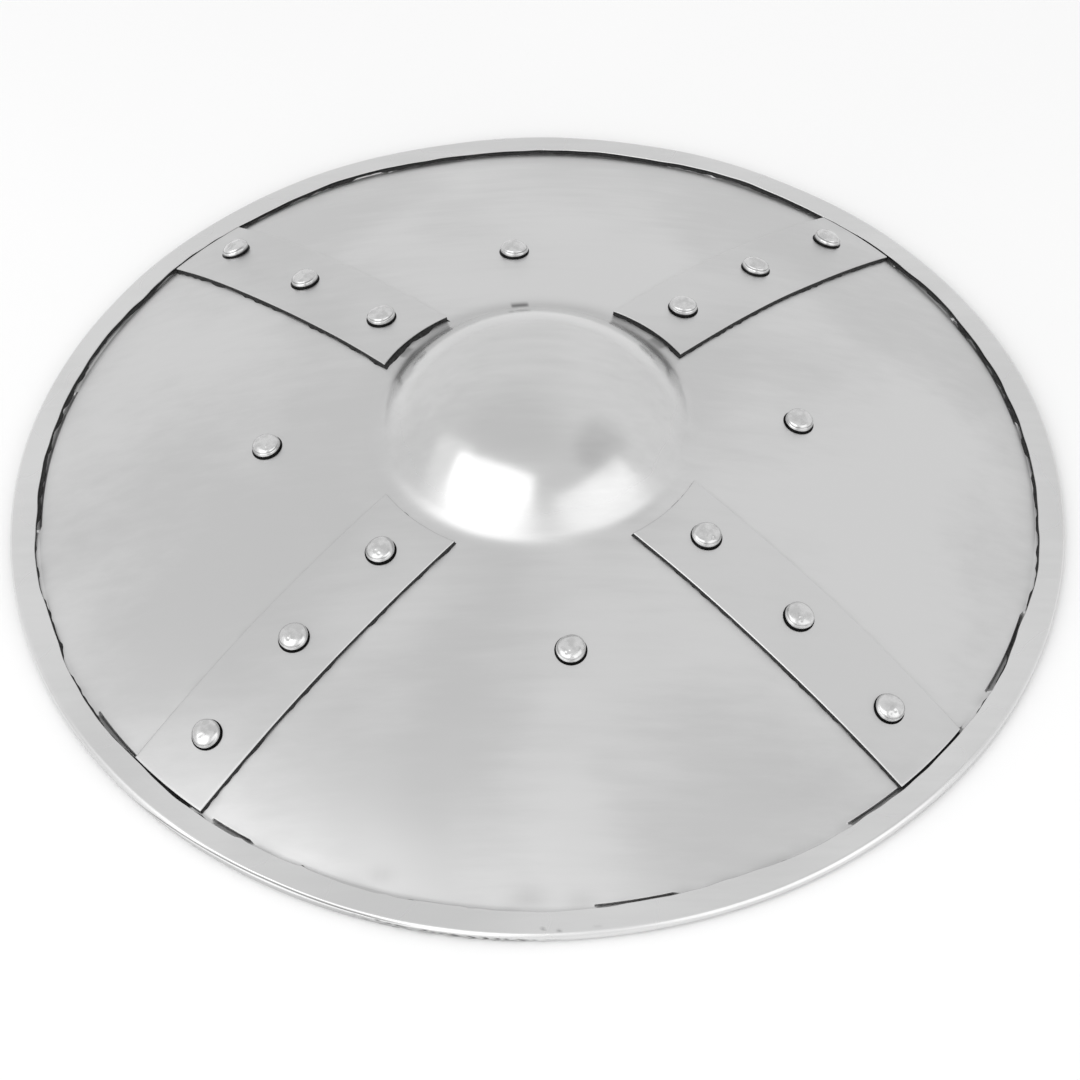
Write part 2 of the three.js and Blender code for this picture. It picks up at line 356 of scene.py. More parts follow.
def brown_leather():
    """Smooth brown leather with a fine grain and slightly darker patches."""
    nodes = Nodes("brown_leather")
    patches = nodes.noise(55, detail=4, roughness=0.6)
    grain = nodes.add("ShaderNodeTexVoronoi", feature="DISTANCE_TO_EDGE")
    grain.inputs["Scale"].default_value = 1100
    nodes.link(nodes.place, grain.inputs["Vector"])
    creases = nodes.span(grain.outputs["Distance"], 0.0, 0.16, 0, 1)
    dark = (0.055, 0.028, 0.014)
    light = (0.11, 0.06, 0.03)
    colour = nodes.blend(nodes.span(patches, 0.3, 0.7, 0, 1), dark, light)
    rough = nodes.span(patches, 0.3, 0.7, 0.45, 0.62)
    normal = nodes.bump(creases, 0.00008, 0.6)
    normal = nodes.bump(patches, 0.0006, 0.4, under=normal)
    return nodes.finish(colour, rough, normal)


def studio_floor():
    """Pale matt paper."""
    nodes = Nodes("studio_floor")
    paper = nodes.noise(3, detail=2)
    colour = nodes.blend(nodes.span(paper, 0.3, 0.7, 0, 1), grey(0.95), grey(0.97))
    return nodes.finish(colour, nodes.span(paper, 0, 1, 0.85, 0.95))


plate_steel = satin_steel("satin_plate_steel", 0.62, 0.715, 0.36, marked=True)
strap_steel = satin_steel("satin_strap_steel", 0.605, 0.685, 0.36)
rim_steel = satin_steel("satin_rim_steel", 0.68, 0.76, 0.27, marked=True)
rivet_finish = rivet_steel()
edge_and_shade_finish = cut_edge_and_shade()
leather_finish = brown_leather()


# Places of the cross straps and the rivets


def heading(bearing):
    """Direction of a bearing in plan."""
    return np.array([math.cos(math.radians(bearing)), math.sin(math.radians(bearing))])


def strap_frame(name):
    """The middle of a strap in plan, and the directions along it and across it to its lower edge."""
    bearing, skew, _ = STRAPS[name]
    left = heading(bearing + skew + 90)
    return STRAP_MIDDLE * heading(bearing), heading(bearing + skew), left if left[1] < 0 else -left


def seat_at(plan):
    """Place on the dish's face over a plan position, and the outward direction there."""
    face = np.array([*plan, dish_height(np.hypot(*plan))])
    return face, (face - np.array([0, 0, DISH_CENTRE[1]])) / DISH_RADIUS


def strap_seats(name):
    bearing, skew, rivets = STRAPS[name]
    for distance, aside in rivets:
        plan = STRAP_MIDDLE * heading(bearing) + (distance - STRAP_MIDDLE) * heading(bearing + skew)
        yield seat_at(plan + aside * heading(bearing + skew + 90))


def grip_seat(place):
    bearing, distance = GRIP_RIVETS[place]
    return seat_at(distance * heading(bearing))


# Plate with its boss

PLATE_TURNS = 420
FRONT_STEPS = (42, 18, 112, 4)  # points over the boss, the hollow, the dish and the brim
BACK_STEPS = (20, 8, 20, 3)
POLISH_REACH = (40, 54)  # the boss's polish fades out between these distances

# Painted shade in the hollow round the boss: bearing and half width in degrees, distance out, depth
# and strength
HOLLOW_MARKS = (
    (95.2, 3.4, 55.2, 1.6, 0.75),
    (142.5, 3.0, 55.0, 2.0, 0.5),
    (41.0, 3.4, 55.0, 2.0, 0.5),
)

# Soft dark patches near the lower edge: bearing, distance out, width and strength
SOFT_DARK_PATCHES = (
    (252.5, 163.5, 4.0, 0.10),
    (268.5, 164.5, 6.0, 0.13),
    (274, 166, 5.0, 0.10),
)


def plate_face(set_back, step_counts):
    """Points and outward directions of one face of the plate, from the boss's top to the edge."""
    boss_steps, hollow_steps, dish_steps, brim_steps = step_counts
    foot = angle_of(HOLLOW_CENTRE - BOSS_CENTRE)
    dish_start = angle_of(HOLLOW_CENTRE - DISH_CENTRE)
    dish_radius = DISH_RADIUS - set_back
    brim_radius = BRIM_RADIUS - set_back
    fold = crossing(DISH_CENTRE, dish_radius, BRIM_CENTRE, brim_radius)
    dish_end = angle_of(fold - DISH_CENTRE)
    brim_start = angle_of(fold - BRIM_CENTRE)
    stretches = (
        (BOSS_CENTRE, BOSS_RADIUS - set_back, math.pi / 2, foot, boss_steps, 1),
        (HOLLOW_CENTRE, HOLLOW_RADIUS + set_back, foot + math.pi, dish_start + math.pi, hollow_steps, -1),
        (DISH_CENTRE, dish_radius, dish_start, dish_end, dish_steps, 1),
        (BRIM_CENTRE, brim_radius, brim_start, EDGE_ANGLE, brim_steps, 1),
    )
    points = []
    outward = []
    for centre, radius, start, end, steps, side in stretches:
        for angle in np.linspace(start, end, steps):
            way = np.array([math.cos(angle), math.sin(angle)])
            points.append(centre + way * radius)
            outward.append(way * side)
    return np.array(points), np.array(outward)


def turned_points(points, outward, turns, shift):
    """Section points turned round the shield's axis and shifted along their outward directions."""
    bearing = np.arange(turns) * 2 * math.pi / turns
    across = np.cos(bearing), np.sin(bearing)
    plan = [points[:, 0][:, None] * part[None] for part in across]
    rise = shift(*plan)
    x = plan[0] + outward[:, 0][:, None] * across[0][None] * rise
    y = plan[1] + outward[:, 0][:, None] * across[1][None] * rise
    z = points[:, 1][:, None] + outward[:, 1][:, None] * rise
    return np.stack([x, y, z], axis=-1)


def strap_places(x, y):
    """For each strap, how far plan positions are across it, its lower edge ahead, and along it."""
    for name in STRAPS:
        middle, along, across = strap_frame(name)
        aside = (x - middle[0]) * across[0] + (y - middle[1]) * across[1]
        run = (x - middle[0]) * along[0] + (y - middle[1]) * along[1]
        yield aside, run


def plate_stains_and_shade(points):
    """Dark marks on the plate: painted shade in the hollow, dirt and painted shade along the seams, and a
    few soft dark patches.
    """
    x, y = points[..., 0], points[..., 1]
    bearing = np.degrees(np.arctan2(y, x)) % 360
    distance = np.hypot(x, y)
    flat = points.reshape(-1, 3)
    patchy = np.clip(0.5 + 0.35 * ripples(flat, 9, 31), 0, 1).reshape(x.shape)
    stain_and_shade = np.zeros(x.shape)

    # painted shade in the hollow, and a fainter painted shade over its far side
    for at, wide, out, depth, strength in HOLLOW_MARKS:
        away = np.abs((bearing - at + 180) % 360 - 180)
        mark = (1 - smooth_step(away, wide * 0.7, wide * 1.1)) * bump(distance - out, depth)
        stain_and_shade = np.maximum(stain_and_shade, strength * mark)
    far = turn_between(bearing, 50, 135, 20) * bump(distance - 54.5, 3.4)
    stain_and_shade = np.maximum(stain_and_shade, 0.2 * far)

    # a faint greyness of dirt and painted shade beside the straps' edges and the rim's seam
    for aside, run in strap_places(x, y):
        within = (distance > STRAP_INNER_RADIUS) & (run > -STRAP_MIDDLE / 2)
        for past, wide, strength in ((aside, 1.8, 0.20), (-aside, 1.2, 0.12)):
            soft = strength * bump(past - STRAP_WIDTH / 2, wide)
            stain_and_shade = np.maximum(stain_and_shade, soft * within * patchy)
    stain_and_shade = np.maximum(stain_and_shade, 0.16 * bump(RIM_INNER_RADIUS - distance, 2.4) * patchy)

    for at, out, wide, strength in SOFT_DARK_PATCHES:
        away = np.hypot(x - out * np.cos(np.radians(at)), 1.6 * (y - out * np.sin(np.radians(at))))
        stain_and_shade = np.maximum(stain_and_shade, strength * bump(away, wide))
    return stain_and_shade


def make_plate():
    """The dished plate with its boss, as one closed skin."""
    front, front_out = plate_face(0, FRONT_STEPS)
    back, back_out = plate_face(SHEET, BACK_STEPS)
    front_points = turned_points(front, front_out, PLATE_TURNS, unevenness)
    back_points = turned_points(back, back_out, PLATE_TURNS, unevenness)[::-1]
    points = np.concatenate([front_points, back_points])
    faces = grid_faces(len(points), PLATE_TURNS, wrap_columns=True)
    stain_and_shade = plate_stains_and_shade(points)
    stain_and_shade[len(front) :] = 0  # the inside stays plain
    polish = 1 - smooth_step(np.hypot(points[..., 0], points[..., 1]), *POLISH_REACH)
    marks = {"stain_and_shade": stain_and_shade, "polish": polish}
    add_piece("shield_plate", points, faces, [plate_steel], ["plate"], weld=True, marks=marks)


# Rim binding

RIM_TURNS = 900
RIM_CORNER = 0.35  # rounding of the binding's inner edge
SEAM_ROWS = 5  # rows of the section that are dark with dirt and painted shade
FLANGE_ANGLE = 90  # stands for the upper flange where a row isn't on the bend
BACK_ANGLE = -180  # and for the lower one

# Kinks in the upper flange's inner edge: bearing and half width in degrees, and depth
KINKS = ((236.7, 0.5, 0.5), (244.1, 0.4, 0.5), (253.6, 0.6, 0.4), (262.5, 0.5, -0.5))

# Small dark specks on the near edge: bearing and distance out
SPECKS = ((269.9, 175.3), (275.4, 175.6), (271.5, 176.1))

# Bearings, and the angle on the bend of the fold line that shows at each
LIP_BEARINGS = (222, 228, 235, 242, 248, 254, 262, 270)
LIP_ANGLES = (-20, 18, 45, 58, 52, 40, 29, 20)


def rim_section():
    """Closed section of the binding as points (distance out, height), with the bend's angles."""
    top = BRIM_RADIUS + LIFT
    under = BRIM_RADIUS - SHEET - LIFT
    section = []
    for lift in (-0.15, 0.0, 0.2, 0.7, LIFT - RIM_CORNER):
        section.append((*on_ball(BRIM_CENTRE, BRIM_RADIUS + lift, RIM_INNER_RADIUS), FLANGE_ANGLE))
    for turn in np.radians((32, 63)):
        distance = RIM_INNER_RADIUS + RIM_CORNER * (1 - math.cos(turn))
        ball = top - RIM_CORNER * (1 - math.sin(turn))
        section.append((*on_ball(BRIM_CENTRE, ball, distance), FLANGE_ANGLE))
    for distance in np.linspace(RIM_INNER_RADIUS + RIM_CORNER, top * math.cos(EDGE_ANGLE), 12):
        section.append((*on_ball(BRIM_CENTRE, top, distance), FLANGE_ANGLE))
    for angle in np.linspace(EDGE_ANGLE, EDGE_ANGLE - math.pi, 46)[1:]:
        height = BEND[1] + RIM_BEND_RADIUS * math.sin(angle)
        section.append((BEND[0] + RIM_BEND_RADIUS * math.cos(angle), height, math.degrees(angle)))
    for distance in np.linspace(under * math.cos(EDGE_ANGLE), RIM_INNER_RADIUS, 8)[1:]:
        section.append((*on_ball(BRIM_CENTRE, under, distance), BACK_ANGLE))
    for lift in (0.4, SHEET):
        section.append((*on_ball(BRIM_CENTRE, under + lift, RIM_INNER_RADIUS), BACK_ANGLE))
    return np.array(section)


def lower_lip(bearing):
    """Angle on the bend of the fold line that shows at the lower left, and how much it shows."""
    angle = np.interp(bearing, LIP_BEARINGS, LIP_ANGLES)
    return angle, turn_between(bearing, 225, 256, 3)


def seam_bead(bearing, along):
    """Width of the dark bead at the foot of the upper flange, dirt and painted shade, wider on the far side
    where the shaded inner edge shows.
    """
    far = turn_between(bearing, -6, 192, 12)
    bead = (0.45 + 0.3 * far) * (1 + 0.45 * ripples(along, 11, 13) + 0.3 * ripples(along, 4, 14))
    return np.clip(bead, 0.2, 1.3)


def fold_and_ground(bearing, along, height, bend_angle):
    """Depth and darkness of the fold line and the rough ground band at the lower left of the bend, with
    painted shade in the fold line, on the side band below it and under the bend.
    """
    on_bend = (bend_angle < FLANGE_ANGLE) & (bend_angle > -116)
    lip_angle, lip = lower_lip(bearing)
    groove = bump(bend_angle - lip_angle[None], 7) * lip[None] * on_bend
    ground = turn_between(bearing, 252, 270, 4)
    below = 1 - smooth_step(bend_angle - lip_angle[None], -14, -4)
    circuit = np.stack([along[:, 0], along[:, 1]], axis=-1)[None]
    spots = np.concatenate([np.repeat(circuit, len(height), axis=0), height[..., None]], axis=-1)
    speckle = ripples(spots.reshape(-1, 3), 1.6, 15).reshape(height.shape)
    speckle = speckle + 0.7 * ripples(spots.reshape(-1, 3), 0.8, 16).reshape(height.shape)
    rough = below * ground[None] * on_bend
    sink = 0.28 * groove + rough * (0.12 + 0.07 * speckle)
    # the fold line is painted dark as shade in its groove
    stain_and_shade = 0.85 * bump(bend_angle - lip_angle[None] + 2, 4) * lip[None] * on_bend
    # the side band below it at the lower left is painted darker as shade
    side = turn_between(bearing, 223, 262, 6)[None] * below * on_bend
    stain_and_shade = np.maximum(stain_and_shade, 0.24 * side)
    stain_and_shade = np.maximum(stain_and_shade, rough * np.clip(0.30 + 0.30 * speckle, 0, 0.9))
    # the bend's underside is painted darker as shade
    underside = (1 - smooth_step(bend_angle, -30, 10)) * on_bend
    return sink, np.maximum(stain_and_shade, 0.22 * underside)


def make_rim():
    """The binding as one closed ring: wandering inner edge, seam dark with dirt and painted shade, fold
    line and ground band.
    """
    section = rim_section()
    bearing = np.arange(RIM_TURNS) * 360 / RIM_TURNS
    turn = np.radians(bearing)
    circle = np.stack([np.cos(turn), np.sin(turn), np.zeros_like(turn)], axis=-1)
    along = circle * OUTER_RADIUS
    distance = np.repeat(section[:, 0][:, None], RIM_TURNS, axis=1)
    height = np.repeat(section[:, 1][:, None], RIM_TURNS, axis=1)
    bend_angle = section[:, 2][:, None]

    # the inner edge wanders, with a few kinks on the near side, and a dark bead of dirt and painted shade
    # fills its foot
    wander = 0.28 * ripples(along, 48, 11) + 0.10 * ripples(along, 13, 12)
    for at, wide, depth in KINKS:
        wander = wander - depth * bump(bearing - at, wide)
    inner = 1 - smooth_step(section[:, 0], RIM_INNER_RADIUS, RIM_INNER_RADIUS + 4)
    distance = distance + inner[:, None] * wander[None]
    bead = seam_bead(bearing, along)
    for row, reach, lift in ((0, 1.0, 0.0), (1, 0.6, 0.14)):
        distance[row] -= reach * bead
        brim = BRIM_CENTRE[1] + np.sqrt(BRIM_RADIUS**2 - distance[row] ** 2)
        height[row] = np.maximum(brim, dish_height(distance[row])) + lift

    sink, stain_and_shade = fold_and_ground(bearing, along, height, bend_angle)
    distance = distance - sink * np.cos(np.radians(bend_angle))
    height = height - sink * np.sin(np.radians(bend_angle))
    for at, out in SPECKS:
        away = np.hypot(distance - out, np.radians(bearing - at)[None] * out)
        stain_and_shade = np.maximum(stain_and_shade, 0.7 * bump(away, 0.45) * (height > 2))

    x = distance * circle[:, 0]
    y = distance * circle[:, 1]
    high = smooth_step(section[:, 1], 0.0, 2.0)[:, None]
    plan_distance = np.minimum(distance, BEND[0])
    swell = unevenness(plan_distance * circle[:, 0], plan_distance * circle[:, 1])
    points = np.stack([x, y, height + high * swell], axis=-1)
    points[..., 2] = np.maximum(points[..., 2], 0)
    faces = grid_faces(len(points), RIM_TURNS, wrap_rows=True, wrap_columns=True)
    marks = {"stain_and_shade": stain_and_shade, "polish": np.zeros(stain_and_shade.shape)}
    rim = add_piece(
        "rim_fold", points, faces, [rim_steel, edge_and_shade_finish], ["rim_binding"], marks=marks
    )
    row_of = np.arange(len(faces)) // RIM_TURNS
    rim.data.polygons.foreach_set("material_index", (row_of < SEAM_ROWS - 1).astype(np.int32))


# Cross straps


def edge_steps(length, inside, spacing):
    """Set-ins from one edge, over a strap's width or length, with the rounded arris at both ends."""
    count = max(int(round((length - 2 * inside[-1]) / spacing)), 2)
    middle = np.linspace(inside[-1], length - inside[-1], count + 1)
    return np.concatenate([inside[:-1], middle, length - np.array(inside[:-1])[::-1]])


# Width of the dark strip of dirt and painted shade along each strap's foot: lower long edge, upper long
# edge, inner end, outer end
STRAP_DIRT_AND_SHADE = {
    "upper_right": (0.55, 0.10, 0.7, 0.05),
    "upper_left": (0.55, 0.10, 1.5, 0.05),
    "lower_left": (0.40, 0.10, 0.25, 0.35),
    "lower_right": (0.40, 0.10, 0.30, 0.35),
}


def edge_lifts(steps):
    """Height of the strap's face at steps across it: up the dirt and the wall, over, and down."""
    lifts = [0.02, 0.12, LIFT - 0.35, LIFT - 0.12, LIFT - 0.02, LIFT]
    lift = np.full(len(steps), LIFT)
    lift[: len(lifts)] = lifts
    lift[-len(lifts) :] = lifts[::-1]
    return lift


def make_strap(name):
    """One cross strap, with its long edges straight and its ends round the boss and the rim."""
    origin, along, across = strap_frame(name)
    lower_dirt_and_shade, upper_dirt_and_shade, inner_dirt_and_shade, outer_dirt_and_shade = STRAP_DIRT_AND_SHADE[name]
    inside = [0.0, 0.0, 0.02, 0.10, 0.28, 0.7]
    width_steps = edge_steps(STRAP_WIDTH, inside, 0.9)
    length = STRAP_OUTER_RADIUS - STRAP_INNER_RADIUS
    length_steps = edge_steps(length, inside, 0.7)
    aside = width_steps - STRAP_WIDTH / 2
    offset = origin @ across
    reach = origin @ along
    start = np.sqrt(STRAP_INNER_RADIUS**2 - (offset + aside) ** 2) - reach
    end = np.sqrt(STRAP_OUTER_RADIUS**2 - (offset + aside) ** 2) - reach
    run = start[None] + (end - start)[None] * (length_steps / length)[:, None]
    aside = np.repeat(aside[None], len(run), axis=0)

    # the outermost row and column on each side is the ragged foot of the dark strip of dirt and painted
    # shade
    spots = np.stack([run, aside, np.full_like(run, 40.0)], axis=-1).reshape(-1, 3)
    ragged = 1 + 0.4 * ripples(spots, 9, len(name)) + 0.3 * ripples(spots, 3, len(name) + 9)
    ragged = np.clip(ragged, 0.25, 2.2).reshape(run.shape)
    aside[:, 0] -= upper_dirt_and_shade * ragged[:, 0]
    aside[:, -1] += lower_dirt_and_shade * ragged[:, -1]
    run[0] -= inner_dirt_and_shade * ragged[0]
    run[-1] += outer_dirt_and_shade * ragged[-1]

    x = origin[0] + run * along[0] + aside * across[0]
    y = origin[1] + run * along[1] + aside * across[1]
    lift = np.minimum(edge_lifts(length_steps)[:, None], edge_lifts(width_steps)[None])
    points = on_dish(x, y, lift)
    faces = grid_faces(*run.shape)
    finishes = [strap_steel, edge_and_shade_finish]
    strap = add_piece(f"strap_{name}", points, faces, finishes, [f"cross_strap_{name}"])
    row, column = np.divmod(np.arange(len(faces)), run.shape[1] - 1)
    # the foot strips and the walls take the dark edge finish, standing for dirt and painted shade
    dark = (row < 2) | (row > run.shape[0] - 4) | (column < 2) | (column > run.shape[1] - 4)
    strap.data.polygons.foreach_set("material_index", dark.astype(np.int32))


# Rivets

RIVET_TURNS = 96
HEAD_SIDE = 1.0  # height of a head's upright side, under its dome
LEDGE_RADIUS = 4.3  # where the torn ledge runs round the lower part of a head

# Pits towards the lower edge of a head: distance from its middle, width and depth
PITS = ((2.1, 0.55, 0.20), (2.9, 0.45, 0.16), (1.2, 0.5, 0.08))


def rivet_section(head_seat, tail_seat, tail_radius):
    """Section from the head's crown to the tail's end: dome, side, foot, shank, tail."""
    section = []
    for turn in np.linspace(0, 1, 36) * math.pi / 2:
        rise = HEAD_SIDE + (HEAD_HEIGHT - HEAD_SIDE) * math.cos(turn) ** 0.95
        section.append((HEAD_RADIUS * math.sin(turn), rise))
    for inset, rise in ((0.0, 0.8), (0.04, 0.5), (0.1, 0.2), (0.5, 0.0)):
        section.append((HEAD_RADIUS - inset, rise))
    section = [(distance, head_seat + rise) for distance, rise in section]
    section.append((SHANK_RADIUS, head_seat))
    section.append((SHANK_RADIUS, tail_seat))
    section.append((tail_radius - 0.2, tail_seat))
    for turn in np.linspace(0, 1, 10) * math.pi / 2:
        distance = tail_radius * (0.55 + 0.45 * math.cos(turn))
        section.append((distance, tail_seat - 0.15 - (TAIL_HEIGHT - 0.15) * math.sin(turn)))
    section.append((0.0, tail_seat - TAIL_HEIGHT))
    return np.array(section)


def rivet_skin(head_seat, tail_seat, tail_radius, seed):
    """Points of an upright hammered rivet, and how dark each one is with dirt and painted shade."""
    draw = np.random.default_rng(seed)
    section = rivet_section(head_seat, tail_seat, tail_radius)
    turn = np.arange(RIVET_TURNS) * 2 * math.pi / RIVET_TURNS
    out, high = section[:, 0][:, None], section[:, 1][:, None]
    x = out * np.cos(turn)[None]
    y = out * np.sin(turn)[None]
    z = np.repeat(high, RIVET_TURNS, axis=1)
    rise = z - head_seat
    on_head = smooth_step(rise, 0.3, 1.2)
    on_foot = (rise < 0.15) & (out > HEAD_RADIUS - 0.6)

    # the head is out of round and leans a little, and a dark ring of dirt and painted contact shadow
    # reaches out under its edge
    bearing = np.degrees(turn)
    lobes = 0.10 * np.cos(np.radians(2 * bearing + draw.uniform(0, 360)))
    lobes = lobes + 0.06 * np.cos(np.radians(3 * bearing + draw.uniform(0, 360)))
    wide = 1 + on_head * lobes[None] * smooth_step(out, 1.5, HEAD_RADIUS) / HEAD_RADIUS
    x, y = x * wide, y * wide
    dirt_and_shadow = 0.46 + 0.12 * np.cos(turn - draw.uniform(3.9, 5.5))
    reach = 1 + on_foot * (dirt_and_shadow + 0.5)[None] / np.maximum(out, 1)
    x, y = x * reach, y * reach
    z = z + 0.07 * on_foot
    lean = draw.normal(0, 0.022, 2)
    z = z + on_head * (x * lean[0] + y * lean[1])

    # hammer marks, with pits and a torn ledge towards the lower edge
    flat = np.stack([x, y, rise], axis=-1).reshape(-1, 3)
    z = z + on_head * (0.045 * ripples(flat, 5, seed)).reshape(z.shape)
    low = math.radians(draw.uniform(235, 305))
    for away, size, depth in PITS:
        turned = low + draw.uniform(-0.5, 0.5)
        dent = bump(np.hypot(x - away * math.cos(turned), y - away * math.sin(turned)), size)
        z = z - depth * dent * on_head
    ledge_side = turn_between(bearing, math.degrees(low) - 75, math.degrees(low) + 75, 35)
    cut = bump(out - LEDGE_RADIUS, 0.18) * 0.2 * ledge_side[None] * on_head
    # the head's low side and its foot are painted near black, as contact shadow and dirt
    grime_and_shade = np.where(high > tail_seat, 1 - smooth_step(rise, 0.6, 1.0), 0.0)
    # a dark line in the ledge's groove is painted shade
    grime_and_shade = np.maximum(grime_and_shade, 0.6 * ledge_side[None] * bump(out - LEDGE_RADIUS - 0.05, 0.12) * on_head)
    return np.stack([x, y, z - cut], axis=-1), grime_and_shade


def make_rivet(name, node, place, head_seat, tail_seat, tail_radius, seed):
    """One rivet on the dish. The seats are the heights at which its head and its tail bear."""
    seat, outward = place
    points, grime_and_shade = rivet_skin(head_seat, tail_seat, tail_radius, seed)
    tilt = Vector((0, 0, 1)).rotation_difference(Vector(outward)).to_matrix()
    foot = seat + outward * float(unevenness(seat[0:1], seat[1:2])[0])
    points = points @ np.array(tilt).T + foot
    faces = grid_faces(len(points), RIVET_TURNS, wrap_columns=True)
    marks = {"stain_and_shade": grime_and_shade}
    add_piece(name, points, faces, [rivet_finish], [node], weld=True, marks=marks)


def make_rivets():
    """Three rivets through each cross strap, and four that hold the grips."""
    seed = 100
    for strap in STRAPS:
        for name, place in zip(RIVET_PLACES, strap_seats(strap)):
            seed += 1
            node = f"strap_rivet_{strap}_{name}"
            make_rivet(f"rivet_{strap}_{name}", node, place, LIFT, -SHEET, STRAP_TAIL_RADIUS, seed)
    tail_seat = -SHEET - GRIP_SEAT - LEATHER
    for name in GRIP_RIVETS:
        seed += 1
        node = f"grip_rivet_{name}"
        make_rivet(f"rivet_{name}", node, grip_seat(name), 0.0, tail_seat, GRIP_TAIL_RADIUS, seed)


# Leather grip straps behind the plate


GRIP_ROUNDING = 0.8  # of the leather's long edges
GRIP_CORNER = GRIP_WIDTH * 0.32  # of the band's ends, in plan
GRIP_STEPS = 150


def grip_line(span):
    """Middle line of a grip as (across, outward) points from the dish's centre."""
    seat_ball = DISH_RADIUS - SHEET - GRIP_SEAT - LEATHER / 2
    loop_half = span / 2 - GRIP_LANDING / DISH_RADIUS
    end_angle = span / 2 + GRIP_TAB / DISH_RADIUS
    angles = np.linspace(-end_angle, end_angle, GRIP_STEPS)
    share = np.minimum(np.abs(angles) / loop_half, 1)
    ball = seat_ball - GRIP_DROP / 2 * (1 + np.cos(math.pi * share))
    return np.stack([np.sin(angles) * ball, np.cos(angles) * ball], axis=-1)


def grip_half_width(line):
    """Half the band's width at each point of its middle line, less at the rounded ends."""
    travelled = np.concatenate([[0], np.cumsum(np.linalg.norm(np.diff(line, axis=0), axis=1))])
    from_end = np.minimum(travelled, travelled[-1] - travelled)
    cut = np.clip(1 - from_end / GRIP_CORNER, 0, 1)
    return GRIP_WIDTH / 2 - GRIP_CORNER * (1 - np.sqrt(1 - cut**2))


def grip_ring(half_width):
    """Places across the band and through it, all round its section: rounded edges, stepped faces."""
    ring = []
    for side, face, first in ((1, 1, 0), (-1, 1, 90), (-1, -1, 180), (1, -1, 270)):
        corner = []
        for turn in np.radians(first + np.linspace(0, 90, 5)):
            across = side * (half_width - GRIP_ROUNDING) + math.cos(turn) * GRIP_ROUNDING
            through = face * (LEATHER / 2 - GRIP_ROUNDING) + math.sin(turn) * GRIP_ROUNDING
            corner.append(np.stack([across, np.full_like(across, through)]))
        if side != face:
            last = ring[-1]
            for share in np.linspace(0, 1, 12)[1:-1]:
                ring.append(last * (1 - share) + corner[0] * share)
        ring += corner
    return np.stack(ring, axis=-1)


def make_grip(name, start_rivet, end_rivet):
    """One leather band that lies on the plate's back at both rivets and loops away between them."""
    centre = np.array([0, 0, DISH_CENTRE[1]])
    start = grip_seat(start_rivet)[1]
    end = grip_seat(end_rivet)[1]
    across = (end - start) / np.linalg.norm(end - start)
    outward = (end + start) / np.linalg.norm(end + start)
    side = np.cross(across, outward)
    line = grip_line(math.acos(float(start @ end)))
    way = np.gradient(line, axis=0)
    way /= np.linalg.norm(way, axis=1)[:, None]
    normal = np.stack([-way[:, 1], way[:, 0]], axis=-1)
    wide, thick = grip_ring(grip_half_width(line))
    flat = line[:, None, :] + normal[:, None, :] * thick[..., None]
    points = centre + flat[..., :1] * across + flat[..., 1:] * outward + wide[..., None] * side
    rows, columns = wide.shape
    faces = grid_faces(rows, columns, wrap_columns=True).tolist()
    faces.append(list(range(columns)))
    faces.append(list(range((rows - 1) * columns, rows * columns)))
    faces = np.array(faces, dtype=object)
    add_piece(f"hold_strap_{name}", points, faces, [leather_finish], [f"grip_strap_{name}"])


# Studio


FLOOR_HALF = 6.0
WORLD_STRENGTH = 0.86
SOFTBOX_DISTANCE = 1.7

# Dimmer places in the studio: aside, forward and half width in degrees, and the share taken away
DIM_PLACES = ((38, -8, 20, 0.22), (-12, 4, 34, 0.05))


def make_floor():
    half = FLOOR_HALF
    mesh = bpy.data.meshes.new("floor")
    corners = [(-half, -half, 0), (half, -half, 0), (half, half, 0), (-half, half, 0)]
    mesh.from_pydata(corners, [], [(0, 1, 2, 3)])
    mesh.materials.append(studio_floor())
    floor = bpy.data.objects.new("floor", mesh)
    bpy.context.scene.collection.objects.link(floor)


def towards(aside, forward):
    """Direction from the shield, leaning from straight up by degrees to +X and to +Y."""
    lean = math.radians(math.hypot(aside, forward))
    bearing = math.atan2(forward, aside)
    return Vector((math.sin(lean) * math.cos(bearing), math.sin(lean) * math.sin(bearing), math.cos(lean)))


def make_world():
    """An even white studio with two dimmer places in it."""
    world = bpy.data.worlds.new("studio")
    bpy.context.scene.world = world
    world.use_nodes = True
    tree = world.node_tree
    background = tree.nodes["Background"]
    place = tree.nodes.new("ShaderNodeTexCoord")
    strength = WORLD_STRENGTH
    for aside, forward, wide, share in DIM_PLACES:
        middle = tree.nodes.new("ShaderNodeVectorMath")
        middle.operation = "DOT_PRODUCT"
        tree.links.new(place.outputs["Generated"], middle.inputs[0])
        middle.inputs[1].default_value = towards(aside, forward)
        dim = tree.nodes.new("ShaderNodeMapRange")
        dim.interpolation_type = "SMOOTHSTEP"
        dim.inputs["From Min"].default_value = math.cos(math.radians(wide))
        dim.inputs["From Max"].default_value = math.cos(math.radians(wide * 0.35))
        dim.inputs["To Min"].default_value = 1
        dim.inputs["To Max"].default_value = 1 - share
        tree.links.new(middle.outputs["Value"], dim.inputs["Value"])
        product = tree.nodes.new("ShaderNodeMath")
        product.operation = "MULTIPLY"
        tree.links.new(dim.outputs["Result"], product.inputs[0])
        if isinstance(strength, float):
            product.inputs[1].default_value = strength
        else:
            tree.links.new(strength, product.inputs[1])
        strength = product.outputs["Value"]
    tree.links.new(strength, background.inputs["Strength"])
    background.inputs["Color"].default_value = (1, 1, 1, 1)


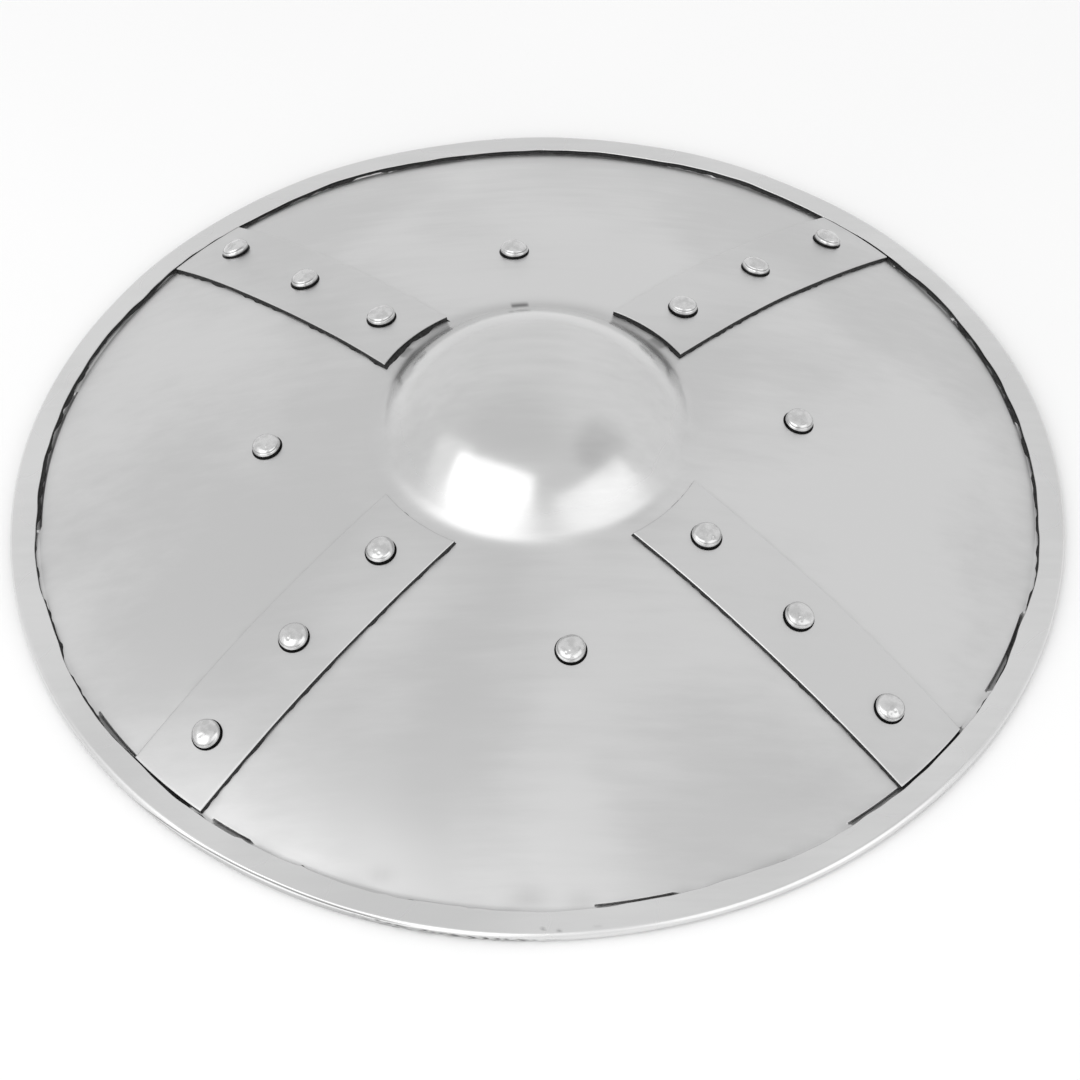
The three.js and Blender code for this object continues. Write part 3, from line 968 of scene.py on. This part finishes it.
def add_softbox(name, aside, forward, turn, wide, deep, brightness):
    """Rectangular softbox that faces the shield. Sizes and the turn are in degrees."""
    back = towards(aside, forward)
    sideways = Vector((1, 0, 0)) - back * back.x
    sideways.normalize()
    up = back.cross(sideways)
    width = 2 * SOFTBOX_DISTANCE * math.tan(math.radians(wide / 2))
    depth = 2 * SOFTBOX_DISTANCE * math.tan(math.radians(deep / 2))
    data = bpy.data.lights.new(name, "AREA")
    data.shape = "RECTANGLE"
    data.size = width
    data.size_y = depth
    data.energy = brightness * math.pi * width * depth
    light = bpy.data.objects.new(name, data)
    frame_of = Matrix((sideways, up, back)).transposed() @ Matrix.Rotation(math.radians(turn), 3, "Z")
    light.matrix_world = Matrix.Translation(back * SOFTBOX_DISTANCE) @ frame_of.to_4x4()
    bpy.context.scene.collection.objects.link(light)


def make_lights():
    add_softbox("left_softbox", -35, -46, -10, 54, 58, 0.92)
    add_softbox("left_screen", -62, -24, -10, 30, 60, 0.25)
    add_softbox("right_softbox", 48, -44, 24, 52, 46, 0.58)


def make_camera():
    """Camera above and in front of the shield, with the roll of the hand-held view."""
    distance = 1.0297
    elevation = math.radians(49.06)
    roll = math.radians(-0.746)
    aim = Vector((0.0008, -0.0184, 0.0))
    data = bpy.data.cameras.new("camera")
    data.lens = 100.9
    data.sensor_width = 36.0
    camera = bpy.data.objects.new("camera", data)
    place = Vector((0.0, -distance * math.cos(elevation), distance * math.sin(elevation)))
    facing = (aim - place).to_track_quat("-Z", "Y").to_matrix()
    camera.matrix_world = Matrix.Translation(place) @ (facing @ Matrix.Rotation(roll, 3, "Z")).to_4x4()
    bpy.context.scene.collection.objects.link(camera)
    bpy.context.scene.camera = camera


make_camera()
make_world()
make_lights()
make_floor()
make_plate()
make_rim()
for strap_name in STRAPS:
    make_strap(strap_name)
make_rivets()
for grip_name, grip_rivets in GRIPS.items():
    make_grip(grip_name, *grip_rivets)

bpy.context.scene.view_settings.view_transform = "Standard"

bpy.context.view_layer.update()
